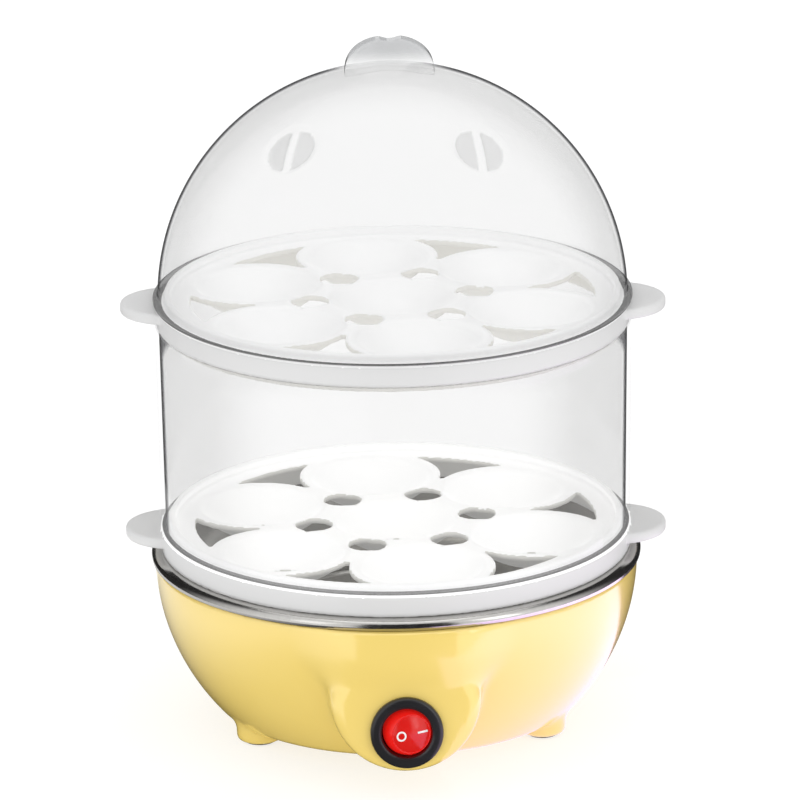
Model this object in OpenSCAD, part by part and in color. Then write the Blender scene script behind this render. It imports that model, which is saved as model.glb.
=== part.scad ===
// Two-tier electric egg cooker: heated base, two egg trays, clear steam ring and clear domed lid.
// Millimetres. Origin on the axis at table level, +Z up, switch towards -Y, tray ears along X.

/* [Base housing] */
// Largest outer radius of the housing, just below the dish rim
base_r = 81.3; // [81.1:0.1:81.6]
// Height of the housing's top edge above the table
base_top = 56.9; // [56.7:0.1:57]
// Vertical half axis of the bowl's elliptical side
bowl_drop = 77; // [76:0.5:79]
// Height of the housing's underside above the table
floor_z = 5; // [4.8:0.1:5.2]
// Thickness of the moulded wall
wall = 2.4; // [2.2:0.1:2.6]
// Sideways distance of each foot from the axis
foot_x = 47.5; // [46.5:0.5:48.5]
// Fore and aft distance of each foot from the axis
foot_y = 27; // [26:0.5:28]
// Diameter of a moulded foot
foot_d = 15.5; // [15:0.5:16]

/* [Switch pod] */
// Width of the pod that carries the switch
pod_w = 50; // [48:1:52]
// Distance of the pod's face from the axis, at the switch centre
pod_front = 85; // [84.5:0.25:85.5]
// Backward lean of the pod's face in degrees
pod_lean = 4; // [3:0.5:5]
// Height of the switch centre above the table
switch_z = 23; // [22.5:0.25:23.5]
// Outer diameter of the switch bezel
bezel_d = 24; // [22.5:0.1:24.5]
// Tilt of the rocker either side of its middle, in degrees
rocker_tilt = 14; // [10:1:14]
// Turn of the round switch in its hole, in degrees
switch_turn = 8; // [0:1:10]

/* [Heating dish] */
// Outer radius of the rolled steel rim
rim_r = 82.5; // [82.3:0.1:82.6]
// Height of the rim's flat top above the table
rim_z = 60.6; // [60.4:0.1:60.8]
// Depth of the dish below the rim
dish_depth = 25.6; // [25:0.1:25.8]
// Thickness of the steel sheet
sheet = 0.8; // [0.6:0.1:0.9]

/* [Egg trays] */
// Outer radius of a tray's skirt
tray_r = 79; // [78.5:0.1:79.4]
// Height of a tray from its skirt's lower edge to the plate's top
tray_h = 7.6; // [7.2:0.1:8]
// Distance from the axis to the tip of an ear
ear_reach = 91; // [90:0.5:94]
// Width of an ear
ear_w = 35; // [32:1:36]
// Distance between neighbouring egg cup centres
cup_pitch = 48.3; // [47.8:0.1:48.5]
// Radius of a cup at the plate's top
cup_mouth_r = 20.8; // [20:0.1:21]
// Diameter of the drain hole in each cup
drain_d = 11; // [8:0.5:12]
// Diameter of the round steam holes between the cups
steam_d = 12.6; // [11:0.1:13]
// Turn of both trays as they were set down, in degrees
tray_yaw = -2.3; // [-10:0.1:10]

/* [Steam ring and lid] */
// Height of the clear ring
ring_h = 70.8; // [66:0.2:76]
// Outer radius of the ring at its top
ring_top_r = 79.8; // [79.6:0.1:80]
// Outer radius of the ring at its bottom
ring_foot_r = 79; // [78.8:0.1:79.2]
// Thickness of the clear plastic
clear_wall = 1.6; // [1.4:0.1:1.7]
// Outer radius of the dome
dome_r = 78.4; // [78.2:0.1:78.6]
// Height of the finger grip above the dome
grip_rise = 10.6; // [8:0.2:13]

/* [Hidden] */
$fn = 96;

bowl_z = 57;
bowl_steps = 12;
cover_gap = 0.4;
cover_r = 46;
cover_t = 2.3;
cover_screw_r = 42;
flange_r = 41;
flange_z = floor_z + 4.8;
seat_z = 56;
seat_r = 80.6;
pad_t = 1.9;
foot_clear = 0.6;
foot_top = 13;
split_z = 14;
boss_h = 6;
pod_foot_r = 92;

lug_r = 47;
lug_z = 20;
lug_t = 4;
lug_w = 12;
lug_tip = 42.5;
dish_floor_r = 56;
dish_mouth_r = 77.2;
bead_r = 1.82;
bead_x = rim_r - bead_r;
bead_z = rim_z - bead_r;
dish_under = rim_z - sheet - dish_depth;
spreader_t = 1.8;
spreader_r = 42.5;
spreader_z = dish_under - spreader_t;
element_r = 35;
tube_r = 3.2;
element_z = spreader_z + 1 - tube_r;
element_gap = 50;
leg_z = 20;
strap_x = 18;
strap_z = 24.2;
strap_t = 0.8;
fuse_y = -20;
sleeve_r = 2.5;
fuse_z = spreader_z - sleeve_r;
gland_z = 24;
gland_face = 79.2;
block_y = 55.5;
block_z = 14;
block_pitch = 9;
lead_r = 1.1;
wire_sides = 10;

cavity_r = 8.3;
barrel_r = 9.9;
barrel_l = 13;
bezel_t = 2.2;
pivot_d = -2.4;
pin_r = 1.2;
rocker_rise = 6;

seat_gap = 0.02;
lower_z = rim_z + seat_gap;
ring_z = lower_z + tray_h + seat_gap;
upper_z = ring_z + ring_h + seat_gap;
dome_z = upper_z + tray_h + seat_gap;
cup_sphere_r = 27.7;
cup_wall = 1.6;
plate_t = 2;
steam_ring_r = cup_pitch / sqrt(3);
window_r = 67.5;
window_side_r = 24;
window_side_x = 43;
window_side_y = 24.6;
pattern_turn = 10.5;
vent_tilt = 51.3;
vent_turn = 39.4;
vent_yaw = -4.4;
vent_r = 10.2;

// A bowl with an elliptical side, from height z0 up to its widest part at bowl_z, topped by a short cylinder
function bowl_side(a, b, z0) =
  let (t0 = acos((bowl_z - z0) / b))
  [for (i = [0 : bowl_steps]) let (t = t0 + (90 - t0) * i / bowl_steps) [a * sin(t), bowl_z - b * cos(t)]];

module bowl(a, b, z0, top) {
  intersection() {
    rotate_extrude() polygon(concat([[0, z0]], bowl_side(a, b, z0), [[a, bowl_z + 3], [0, bowl_z + 3]]));
    translate([0, 0, z0 - 1]) cylinder(r = a + 5, h = top - z0 + 1);
  }
}

// Local frame of the pod's face: +Z out of the face, X sideways, Y up the face
module at_pod() {
  translate([0, -pod_front, switch_z]) rotate([90 - pod_lean, 0, 0]) children();
}

// The same frame turned as the round switch sits in its hole
module at_switch() {
  at_pod() rotate(switch_turn) children();
}

// U-shaped outline of the pod, round at the bottom
module pod_outline(half_w, rise) {
  translate([0, 11]) circle(r = half_w);
  translate([-half_w, 11]) square([2 * half_w, rise]);
}

module pod_block() {
  intersection() {
    at_pod() translate([0, 0, -40]) linear_extrude(40) pod_outline(pod_w / 2, 21);
    cylinder(r1 = pod_foot_r, r2 = base_r, h = base_top - 0.6);
  }
}

module pod_void() {
  intersection() {
    at_pod() translate([0, 0, -40]) linear_extrude(40 - wall) pod_outline(pod_w / 2 - wall, 16);
    cylinder(r1 = pod_foot_r - wall, r2 = base_r - wall, h = base_top - 0.6);
  }
}

module at_feet() {
  for (sx = [-1, 1], sy = [-1, 1]) translate([sx * foot_x, sy * foot_y, 0]) children();
}

module at_lugs() {
  for (a = [45 : 90 : 315]) rotate(a) translate([lug_r, 0, 0]) children();
}

module at_cover_screws() {
  for (a = [0 : 90 : 270]) rotate(a) translate([cover_screw_r, 0, 0]) children();
}

module pan_screw(head_r, head_h, shank_r, shank_l) {
  difference() {
    union() {
      translate([0, 0, -head_h]) cylinder(r = head_r, h = head_h, $fn = 48);
      cylinder(r = shank_r, h = shank_l, $fn = 32);
    }
    for (a = [0, 90]) rotate(a) translate([-head_r * 0.6, -0.35, -head_h - 1]) cube([head_r * 1.2, 0.7, 1.8]);
  }
}

function unit(v) = v / norm(v);

// Cuts each corner of a route, which rounds its bends
function eased(p) = concat([p[0]],
  [for (i = [0 : len(p) - 2], k = [0.25, 0.75]) p[i] + k * (p[i + 1] - p[i])],
  [p[len(p) - 1]]);

// Direction of travel at each point of a route
function headings(p) =
  [for (i = [0 : len(p) - 1]) unit(p[min(i + 1, len(p) - 1)] - p[max(i - 1, 0)])];

// An insulated wire along a route, swept as rings of points
module wire(route) {
  path = eased(eased(route));
  heading = headings(path);
  across = unit([0.85, -0.2, 0.5]);
  rings = [for (i = [0 : len(path) - 1])
    let (u = unit(cross(heading[i], across)), v = cross(heading[i], u))
    for (k = [0 : wire_sides - 1])
      path[i] + lead_r * (cos(360 * k / wire_sides) * u + sin(360 * k / wire_sides) * v)];
  last = (len(path) - 1) * wire_sides;
  polyhedron(rings, concat(
    [[for (k = [0 : wire_sides - 1]) wire_sides - 1 - k]],
    [[for (k = [0 : wire_sides - 1]) last + k]],
    [for (i = [0 : len(path) - 2], k = [0 : wire_sides - 1])
      let (a = i * wire_sides, k2 = (k + 1) % wire_sides)
      [a + k, a + k2, a + wire_sides + k2, a + wire_sides + k]]), convexity = 4);
}

// Room inside the bowl, above the floor's flange
module housing_bore() {
  bowl(base_r - wall, bowl_drop - wall, flange_z, base_top + 2);
}

// The whole moulding without its lugs and bosses
module housing_shell() {
  difference() {
    union() {
      bowl(base_r, bowl_drop, floor_z, base_top);
      pod_block();
      at_feet() translate([0, 0, foot_clear]) cylinder(r = foot_d / 2, h = foot_top);
      translate([0, 60, gland_z]) rotate([-90, 0, 0]) cylinder(r = 10, h = gland_face - 60);
    }
    housing_bore();
    translate([0, 0, seat_z]) cylinder(r = seat_r, h = 5);
    difference() {
      pod_void();
      cylinder(r = 100, h = flange_z);
    }
    at_pod() translate([0, 0, -10]) cylinder(r = barrel_r + 0.1, h = 20);
    translate([0, 0, floor_z - 1]) cylinder(r = cover_r + cover_gap, h = cover_t + 1.1);
    translate([0, 0, floor_z - 1]) cylinder(r = flange_r, h = 20);
    translate([0, 60, gland_z]) rotate([-90, 0, 0]) cylinder(r = 6, h = 30);
    at_feet() translate([0, 0, -1]) cylinder(r = 5.1, h = pad_t + 1);
  }
}

module below_split() {
  translate([0, 0, -1]) cylinder(r = 100, h = split_z + 1);
}

// Upper wall of the moulding, with the switch pod
module base_housing() {
  color("#fbe387") difference() {
    housing_shell();
    below_split();
  }
}

// Lower ring of the moulding: flange, feet, bosses for the cover's screws, posts under the terminal block
module housing_floor() {
  color("#fbe387") difference() {
    union() {
      intersection() {
        housing_shell();
        below_split();
      }
      at_cover_screws() translate([0, 0, floor_z + cover_t + 0.1]) cylinder(r = 4, h = boss_h);
      for (s = [-1, 1]) translate([s * block_pitch, block_y, flange_z - 1])
        cylinder(r = 3, h = block_z - flange_z + 1);
    }
    at_cover_screws() translate([0, 0, floor_z]) cylinder(r = 1.25, h = boss_h + 2, $fn = 32);
  }
}

// Lugs of the moulding that the dish is screwed to, each on a stiffening rib
module housing_lugs() {
  color("#fbe387") difference() {
    intersection() {
      for (a = [45 : 90 : 315]) rotate(a) {
        translate([lug_tip, -lug_w / 2, lug_z]) cube([40, lug_w, lug_t]);
        translate([lug_r + 5, -1.5, flange_z]) cube([30, 3, lug_z - flange_z + 2]);
      }
      housing_bore();
    }
    at_lugs() translate([0, 0, lug_z - 1]) cylinder(r = 1.7, h = lug_t + 2, $fn = 32);
  }
}

module bottom_cover() {
  color("#f3dc86") difference() {
    translate([0, 0, floor_z]) cylinder(r = cover_r, h = cover_t);
    at_cover_screws() {
      translate([0, 0, floor_z - 1]) cylinder(r = 1.7, h = 9, $fn = 32);
      translate([0, 0, floor_z - 1]) cylinder(r = 3.1, h = 2.2, $fn = 48);
    }
    for (i = [-3 : 3]) translate([-1.25 + 8 * i, -16, floor_z - 1]) cube([2.5, 32, cover_t + 2]);
  }
}

module cover_screws() {
  color("silver") at_cover_screws() translate([0, 0, floor_z + 1.2]) pan_screw(2.9, 1.15, 1.2, boss_h);
}

module foot_pads() {
  color("#3a3a3a") at_feet() cylinder(r = 5, h = pad_t);
}

module cord_gland() {
  color("#2b2b2b") translate([0, gland_face, gland_z]) rotate([-90, 0, 0]) difference() {
    union() {
      cylinder(r = 8, h = 2.2);
      cylinder(r = 5.4, h = 8.4);
      translate([0, 0, -10]) cylinder(r = 5.9, h = 10.5);
    }
    translate([0, 0, -12]) cylinder(r = 3.3, h = 25);
  }
}

// Curved side of the dish as [radius, height] points, from the floor out to the mouth
function dish_side(mouth_r, mouth_z) =
  [for (i = [0 : 10]) let (t = 90 - 9 * i)
    [dish_floor_r + (mouth_r - dish_floor_r) * cos(t), mouth_z - dish_depth * sin(t)]];

module heating_dish() {
  inner = dish_side(dish_mouth_r, rim_z);
  outer = dish_side(dish_mouth_r + sheet, rim_z - sheet);
  color("silver") rotate_extrude() polygon(concat(
    [[0, rim_z - dish_depth]],
    inner,
    [for (i = [0 : 22]) let (a = 90 - 14 * i) [bead_x + bead_r * cos(a), bead_z + bead_r * sin(a)]],
    [for (i = [0 : 10]) outer[10 - i]],
    [[0, dish_under]]));
}

module rim_gasket() {
  color("#e8e8e2") rotate_extrude() difference() {
    translate([base_r - wall + 0.05, seat_z]) square([seat_r - base_r + wall - 0.05, 2.2]);
    translate([bead_x, bead_z]) circle(r = bead_r, $fn = 48);
  }
}

module dish_bosses() {
  color("gray") at_lugs() difference() {
    translate([0, 0, lug_z + lug_t]) cylinder(r = 3.5, h = dish_under - lug_z - lug_t);
    translate([0, 0, lug_z]) cylinder(r = 1.5, h = dish_under - lug_z - 1.2, $fn = 32);
  }
}

module dish_screws() {
  color("silver") at_lugs() translate([0, 0, lug_z]) pan_screw(2.9, 2.2, 1.45, 11);
}

module heat_spreader() {
  color("#c9ccd0") difference() {
    translate([0, 0, spreader_z]) cylinder(r = spreader_r, h = spreader_t);
    translate([0, 0, spreader_z - 1]) cylinder(r = 8.6, h = spreader_t + 2);
    for (sx = [-1, 1]) translate([sx * strap_x, 0, spreader_z - 1])
      cylinder(r = 1.8, h = spreader_t + 2, $fn = 32);
    rotate_extrude() translate([element_r, element_z]) circle(r = tube_r, $fn = 48);
  }
}

module at_element_ends() {
  for (s = [-1, 1]) rotate(90 + s * element_gap / 2) translate([element_r, 0, 0]) children();
}

module heating_element() {
  color("#6f6f72") {
    rotate(90 + element_gap / 2) rotate_extrude(angle = 360 - element_gap)
      translate([element_r, element_z]) circle(r = tube_r, $fn = 48);
    at_element_ends() translate([0, 0, leg_z]) cylinder(r = tube_r + 0.2, h = spreader_z - leg_z - 0.4);
  }
}

module element_tabs() {
  color("gold") at_element_ends() rotate(-90) translate([-3.15, -0.4, leg_z - 8]) cube([6.3, 0.8, 8]);
}

module thermostat() {
  color("#2a2a2e") {
    translate([0, 0, spreader_z - 1.4]) cylinder(r = 7.95, h = dish_under - spreader_z + 1.4);
    translate([0, 0, strap_z + strap_t]) cylinder(r = 7.8, h = spreader_z - strap_z - strap_t - 1);
    translate([0, 0, strap_z - 4]) cylinder(r = 4.8, h = 6);
    for (sx = [-1, 1]) translate([3 * sx - 0.4, -2.4, strap_z - 9]) cube([0.8, 4.8, 6]);
  }
}

module thermostat_strap() {
  color("silver") difference() {
    translate([-strap_x - 4, -6, strap_z]) cube([2 * strap_x + 8, 12, strap_t]);
    translate([0, 0, strap_z - 1]) cylinder(r = 5.2, h = 3);
    for (sx = [-1, 1]) translate([sx * strap_x, 0, strap_z - 1]) cylinder(r = 1.7, h = 3, $fn = 32);
  }
}

module thermostat_studs() {
  color("gray") for (sx = [-1, 1]) translate([sx * strap_x, 0, strap_z - 4.2])
    cylinder(r = 1.5, h = dish_under - strap_z + 4.2, $fn = 32);
}

module thermostat_nuts() {
  color("silver") for (sx = [-1, 1]) translate([sx * strap_x, 0, strap_z - 3]) difference() {
    cylinder(r = 3.2, h = 2.4, $fn = 6);
    translate([0, 0, -1]) cylinder(r = 1.55, h = 5, $fn = 32);
  }
}

module earth_tag() {
  color("gold") difference() {
    union() {
      translate([strap_x, 0, strap_z - 0.6]) cylinder(r = 3.4, h = 0.6);
      translate([strap_x - 1.8, 2.5, strap_z - 0.6]) cube([3.6, 5, 0.6]);
      translate([strap_x, 7, strap_z - 1.8]) rotate([-90, 0, 0]) cylinder(r = 1.8, h = 5, $fn = 32);
    }
    translate([strap_x, 0, strap_z - 3]) cylinder(r = 1.6, h = 5, $fn = 32);
    translate([strap_x, 6, strap_z - 1.8]) rotate([-90, 0, 0]) cylinder(r = 1.2, h = 8, $fn = 32);
  }
}

module thermal_fuse() {
  color("tan") translate([0, fuse_y, fuse_z]) rotate([0, 90, 0]) {
    cylinder(r = 2, h = 11, center = true, $fn = 48);
    cylinder(r = 0.5, h = 26, center = true, $fn = 24);
  }
}

module fuse_sleeve() {
  color("white") translate([0, fuse_y, fuse_z]) rotate([0, 90, 0]) difference() {
    cylinder(r = sleeve_r, h = 20, center = true, $fn = 48);
    cylinder(r = 2.1, h = 22, center = true, $fn = 48);
  }
}

module fuse_clip() {
  color("silver") translate([0, fuse_y, fuse_z]) {
    difference() {
      translate([-3, -sleeve_r - 0.7, -sleeve_r - 0.7]) cube([6, 2 * sleeve_r + 1.4, 2 * sleeve_r + 0.7]);
      rotate([0, 90, 0]) cylinder(r = sleeve_r + 0.05, h = 8, center = true, $fn = 48);
      translate([-4, -sleeve_r - 0.05, 0]) cube([8, 2 * sleeve_r + 0.1, 5]);
    }
    for (s = [-1, 1]) translate([-3, s > 0 ? sleeve_r + 0.2 : -sleeve_r - 4.2, sleeve_r - 0.6])
      cube([6, 4, 0.6]);
  }
}

module at_poles() {
  for (i = [-1 : 1]) translate([i * block_pitch, block_y, block_z]) children();
}

module terminal_block() {
  color("white") difference() {
    translate([-14, block_y - 5.5, block_z]) cube([28, 11, 12]);
    at_poles() {
      translate([0, 0, 5]) rotate([90, 0, 0]) cylinder(r = 2.6, h = 20, center = true, $fn = 48);
      for (s = [-1, 1]) translate([0, 3 * s, 5]) cylinder(r = 1.6, h = 10, $fn = 32);
    }
  }
}

module terminal_sleeves() {
  color("gold") at_poles() difference() {
    translate([0, 0, 5]) rotate([90, 0, 0]) cylinder(r = 2.5, h = 10, center = true, $fn = 48);
    translate([0, 0, 5]) rotate([90, 0, 0]) cylinder(r = 1.5, h = 20, center = true, $fn = 32);
    for (s = [-1, 1]) translate([0, 3 * s, 5]) cylinder(r = 1.25, h = 10, $fn = 32);
  }
}

module terminal_screws() {
  color("silver") at_poles() for (s = [-1, 1]) translate([0, 3 * s, 6.8]) difference() {
    cylinder(r = 1.2, h = 4, $fn = 32);
    translate([-2, -0.25, 3.3]) cube([4, 0.5, 2]);
  }
}

module lead_live() {
  color("#7a4a2a") wire([[9, 49.8, 19], [15, 44, 12], [30, 24, 10.6], [30, -24, 10.6],
    [9, -48, 11], [3, -60, 13.6]]);
}

module lead_switched() {
  color("#1d1d1d") wire([[1, -59.4, 21.4], [9, -46, 13], [5, -5, 12]]);
}

module lead_stat() {
  color("#1d1d1d") wire([[-4.9, -1, 14], [-12, -8, 14], [-17, -18, 22], [-14.4, fuse_y, fuse_z]]);
}

module lead_fuse() {
  color("#1d1d1d") wire([[14.4, fuse_y, fuse_z], [18, -17, 22], [24, 6, 14], [17, 28.9, 13]]);
}

module lead_neutral() {
  color("#2f5fa8") wire([[-16.4, 33.6, 13], [-15, 42, 13], [-9, 49.8, 18]]);
}

module lead_earth() {
  color("#4f9a3f") wire([[0, 49.8, 19.4], [3, 40, 21.5], [13, 23, 20.5], [strap_x, 12.2, strap_z - 1.8]]);
}

module switch_body() {
  color("#26282a") at_switch() difference() {
    union() {
      translate([0, 0, -barrel_l]) cylinder(r = barrel_r, h = barrel_l + 0.6);
      rotate_extrude() polygon([[cavity_r, 0], [bezel_d / 2, 0], [bezel_d / 2, 0.7],
        [bezel_d / 2 - 0.5, 1.5], [bezel_d / 2 - 1.6, bezel_t], [cavity_r + 0.9, bezel_t], [cavity_r, 1.5]]);
    }
    translate([0, 0, -6.5]) cylinder(r = cavity_r, h = 12);
    translate([0, 0, pivot_d]) rotate([90, 0, 0])
      cylinder(r = pin_r + 0.05, h = 19.2, center = true, $fn = 32);
    translate([0, 0, -12]) cylinder(r = 2.6, h = 8, $fn = 48);
  }
}

module switch_tabs() {
  color("gold") at_switch() for (i = [-1 : 1]) translate([-3.15, 6 * i - 0.4, -barrel_l - 8])
    cube([6.3, 0.8, 8]);
}

module neon_lamp() {
  color("orange") at_switch() translate([0, 0, -11.6]) cylinder(r = 2.2, h = 4.8, $fn = 48);
}

// The rocker, modelled level and then tipped so that its right side is pressed in: switched on
module switch_rocker() {
  color("#d8231b") at_switch() translate([0, 0, pivot_d]) rotate([0, rocker_tilt, 0]) {
    rotate_extrude() polygon([[0, 1.8], [4.5, 1.8], [4.5, -1.2], [7.8, -1.2], [8, 0.5],
      [6.9, rocker_rise - 0.3], [6.6, rocker_rise], [0, rocker_rise]]);
    for (s = [0, 180]) rotate([90, 0, s]) translate([0, 0, 6.6]) rotate(25)
      cylinder(r = pin_r, h = 2.8, $fn = 32);
  }
}

// Centres of the seven egg cups: one in the middle and six around it
module at_cups() {
  children();
  for (i = [0 : 5]) rotate(pattern_turn + 30 + 60 * i) translate([cup_pitch, 0, 0]) children();
}

module steam_window() {
  intersection() {
    circle(r = window_r);
    difference() {
      translate([window_side_x + 3, -20]) square([40, 40]);
      for (s = [-1, 1]) translate([window_side_x, s * window_side_y]) circle(r = window_side_r);
    }
  }
}

// One egg tray with its skirt's lower edge at height z0
module egg_tray(z0) {
  top = z0 + tray_h;
  sphere_up = sqrt(cup_sphere_r * cup_sphere_r - cup_mouth_r * cup_mouth_r);
  rotate(tray_yaw) difference() {
    union() {
      rotate_extrude() {
        translate([0, top - plate_t]) square([tray_r, plate_t]);
        translate([tray_r - 1.6, z0]) square([1.6, tray_h - 0.5]);
        translate([74.9, z0 - 3]) square([1.8, tray_h + 1]);
        translate([74.2, top - 0.5]) square([2, 3.3]);
      }
      for (s = [0, 180]) rotate(s) intersection() {
        translate([ear_reach - ear_w / 2, 0, z0 + 3.2]) cylinder(r = ear_w / 2, h = 3.5);
        translate([tray_r - 1, -50, z0]) cube([50, 100, 20]);
      }
      at_cups() intersection() {
        translate([0, 0, top + sphere_up]) sphere(r = cup_sphere_r + cup_wall);
        translate([0, 0, top - 20]) cylinder(r = 30, h = 19);
      }
    }
    at_cups() {
      translate([0, 0, top + sphere_up]) sphere(r = cup_sphere_r);
      translate([0, 0, top - 20]) cylinder(r = drain_d / 2, h = 20);
    }
    for (i = [0 : 5]) rotate(pattern_turn + 60 * i) {
      translate([steam_ring_r, 0, top - 12]) cylinder(r = steam_d / 2, h = 16);
      translate([0, 0, top - 12]) linear_extrude(16) steam_window();
    }
  }
}

module lower_tray() {
  color("white") egg_tray(lower_z);
}

module upper_tray() {
  color("white") egg_tray(upper_z);
}

module steam_ring() {
  color([0.85, 0.88, 0.9, 0.4]) translate([0, 0, ring_z]) rotate_extrude() polygon([
    [ring_foot_r - clear_wall, 0], [ring_foot_r, 0],
    [ring_top_r, ring_h], [ring_top_r - clear_wall, ring_h]]);
}

// Side view of the finger grip, from the axis out to one side: a shallow notch between two humps
grip_side = [[0, -12], [15.6, -12], [14.6, -1.5], [14.4, 1.5], [12.9, 4.6], [11.8, 6.4],
  [9.8, grip_rise - 2.2], [7.6, grip_rise - 0.5], [5.2, grip_rise], [3.2, grip_rise - 0.4],
  [1.6, grip_rise - 1.2], [0, grip_rise - 1.3]];

module grip() {
  apex = dome_z + dome_r;
  difference() {
    translate([0, 4.2, apex]) rotate([90, 0, 0]) linear_extrude(8.4) {
      polygon(grip_side);
      mirror([1, 0]) polygon(grip_side);
    }
    for (s = [-1, 1]) translate([0, s * 26.6, apex + 3]) sphere(r = 24.6);
    translate([0, 0, dome_z]) sphere(r = dome_r - clear_wall / 2);
  }
}

module at_vents() {
  for (s = [-1, 1]) translate([0, 0, dome_z]) rotate([0, 0, s * vent_turn + vent_yaw])
    rotate([90 - vent_tilt, 0, 0]) children();
}

// Half section of the dome with its flared lip, measured from the dome's centre
module dome_section() {
  difference() {
    union() {
      intersection() {
        circle(r = dome_r, $fn = 180);
        square([dome_r + 1, dome_r + 1]);
      }
      square([dome_r + 1.6, 1.4]);
    }
    circle(r = dome_r - clear_wall, $fn = 180);
  }
}

module lid_dome() {
  color([0.85, 0.88, 0.9, 0.4]) difference() {
    union() {
      translate([0, 0, dome_z]) rotate_extrude() dome_section();
      at_vents() translate([0, 0, dome_r - 3.4]) cylinder(r = vent_r + 1.25, h = 2.3);
      grip();
    }
    at_vents() {
      translate([0, 0, dome_r - 1.8]) cylinder(r = vent_r, h = 5);
      translate([-4.5, -0.9, dome_r - 5]) cube([9, 1.8, 5]);
    }
  }
}

base_housing();
housing_floor();
housing_lugs();
bottom_cover();
cover_screws();
foot_pads();
cord_gland();
heating_dish();
rim_gasket();
dish_bosses();
dish_screws();
heat_spreader();
heating_element();
element_tabs();
thermostat();
thermostat_strap();
thermostat_studs();
thermostat_nuts();
earth_tag();
thermal_fuse();
fuse_sleeve();
fuse_clip();
terminal_block();
terminal_sleeves();
terminal_screws();
lead_live();
lead_switched();
lead_stat();
lead_fuse();
lead_neutral();
lead_earth();
switch_body();
switch_tabs();
neon_lamp();
switch_rocker();
lower_tray();
steam_ring();
upper_tray();
lid_dome();
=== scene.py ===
import math

import bpy
import numpy as np
from mathutils import Matrix, Vector


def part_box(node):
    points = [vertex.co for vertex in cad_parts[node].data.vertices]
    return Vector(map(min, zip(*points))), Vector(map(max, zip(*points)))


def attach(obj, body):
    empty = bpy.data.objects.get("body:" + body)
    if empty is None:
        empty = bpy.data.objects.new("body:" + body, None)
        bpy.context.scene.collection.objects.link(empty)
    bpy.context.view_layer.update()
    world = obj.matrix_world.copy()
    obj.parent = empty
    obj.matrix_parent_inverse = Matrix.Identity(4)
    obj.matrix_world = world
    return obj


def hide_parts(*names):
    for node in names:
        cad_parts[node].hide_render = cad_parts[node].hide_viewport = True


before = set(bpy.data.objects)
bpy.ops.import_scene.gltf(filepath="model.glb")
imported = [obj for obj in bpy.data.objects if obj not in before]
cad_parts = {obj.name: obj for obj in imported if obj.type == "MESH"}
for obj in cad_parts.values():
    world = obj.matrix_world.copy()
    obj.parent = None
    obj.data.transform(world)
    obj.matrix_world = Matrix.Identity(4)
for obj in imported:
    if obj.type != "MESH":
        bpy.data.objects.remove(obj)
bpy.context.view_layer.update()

MM = 0.001  # every shape below is worked out in millimetres and scaled once, in add_mesh


def box_mm(node):
    low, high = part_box(node)
    return np.array(low) / MM, np.array(high) / MM


# ---------------------------------------------------------------- dimensions, from the frame
_, DISH_HIGH = box_mm("heating_dish")
RING_LOW, RING_HIGH = box_mm("steam_ring")
LID_LOW, LID_HIGH = box_mm("lid_dome")
RIM_Z = DISH_HIGH[2]
RING_TOP_R = RING_HIGH[0]
RING_FOOT_R = RING_TOP_R - 0.8
CLEAR_WALL = 1.6
LIP_R = LID_HIGH[0]
DOME_R = LIP_R - 1.6
DOME_Z = LID_LOW[2]
DOME_TOP = DOME_Z + DOME_R
SEAT_GAP = 0.02
TRAY_H = RING_LOW[2] - RIM_Z - 2 * SEAT_GAP
TRAY_YAW = math.radians(-2.3)
LOWER_TOP = RING_LOW[2] - SEAT_GAP
UPPER_TOP = DOME_Z - SEAT_GAP

HOUSING_R = 81.3
HOUSING_TOP = 56.9
BOWL_Z = 57.0
BOWL_DROP = 77.0
FLOOR_Z = 5.0
WALL = 2.4
POD_LEAN = math.radians(4)
POD_FACE = Vector((0, -85, 23))
POD_HALF_W = 25.0
POD_RISE = 11.0
FOOT_X, FOOT_Y, FOOT_R = 47.5, 27.0, 7.75
GLAND_Z = 24.0
GLAND_FACE = 79.2
ROCKER_TILT = math.radians(14)
PIVOT_DEPTH = -2.4


# ---------------------------------------------------------------- meshes
def add_mesh(name, verts_mm, faces, material, body, replaces=(), place=None):
    """Adds one smooth-shaded piece from points in millimetres and tells the frame what it is."""
    verts = np.asarray(verts_mm, dtype=float) * MM
    if place is not None:
        turn = np.array(place.to_3x3())
        shift = np.array(place.to_translation()) * MM
        verts = verts @ turn.T + shift
    mesh = bpy.data.meshes.new(name)
    mesh.from_pydata(verts.tolist(), [], faces)
    mesh.validate()
    mesh.materials.append(material)
    mesh.shade_smooth()
    piece = bpy.data.objects.new(name, mesh)
    bpy.context.scene.collection.objects.link(piece)
    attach(piece, body)
    if replaces:
        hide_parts(*replaces)
    return piece


def lathe(profile, segments=192):
    """Turns a closed profile of (radius, height) points about Z. A point on the axis becomes one vertex."""
    rings, verts = [], []
    for r, z in profile:
        if r < 1e-6:
            rings.append([len(verts)])
            verts.append((0, 0, z))
            continue
        rings.append(list(range(len(verts), len(verts) + segments)))
        for k in range(segments):
            a = 2 * math.pi * k / segments
            verts.append((r * math.cos(a), r * math.sin(a), z))
    faces = []
    for lower, upper in zip(rings, rings[1:] + rings[:1]):
        if len(lower) == 1 and len(upper) == 1:
            continue
        for k in range(segments):
            n = (k + 1) % segments
            if len(lower) == 1:
                faces.append((lower[0], upper[k], upper[n]))
            elif len(upper) == 1:
                faces.append((lower[k], upper[0], lower[n]))
            else:
                faces.append((lower[k], upper[k], upper[n], lower[n]))
    return verts, faces


def arc(cx, cz, r, start, end, steps):
    """Points on a circle from one angle to another, in degrees."""
    angles = np.radians(np.linspace(start, end, steps + 1))
    return [(cx + r * math.cos(a), cz + r * math.sin(a)) for a in angles]


def smooth_min(a, b, k):
    h = np.clip(0.5 + 0.5 * (b - a) / k, 0, 1)
    return b * (1 - h) + a * h - k * h * (1 - h)


def smooth_max(a, b, k):
    return -smooth_min(-a, -b, k)


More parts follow.
